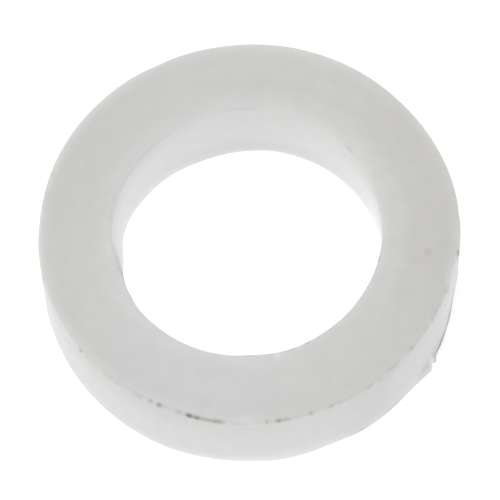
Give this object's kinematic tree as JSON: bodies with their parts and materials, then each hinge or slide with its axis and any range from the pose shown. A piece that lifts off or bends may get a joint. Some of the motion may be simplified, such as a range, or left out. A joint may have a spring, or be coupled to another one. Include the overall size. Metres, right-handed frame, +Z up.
{
  "type": "flat washer",
  "caption": "Thick flat washer with a round bore, moulded in natural translucent nylon, to spread load and insulate under a bolt head or nut.",
  "frame": {"origin": "centre of the bore in the plane of the bottom face", "axes": "+Z up along the bore's axis, from the bottom face to the top face; +X and +Y in the plane of the faces, with the gate vestige at -36 degrees from +X"},
  "size_m": [0.013, 0.013, 0.0029],
  "materials": {
    "natural_nylon": "satin, milky and slightly translucent"
  },
  "bodies": {
    "root": {"washer_ring": "natural_nylon"}
  },
  "joints": []
}
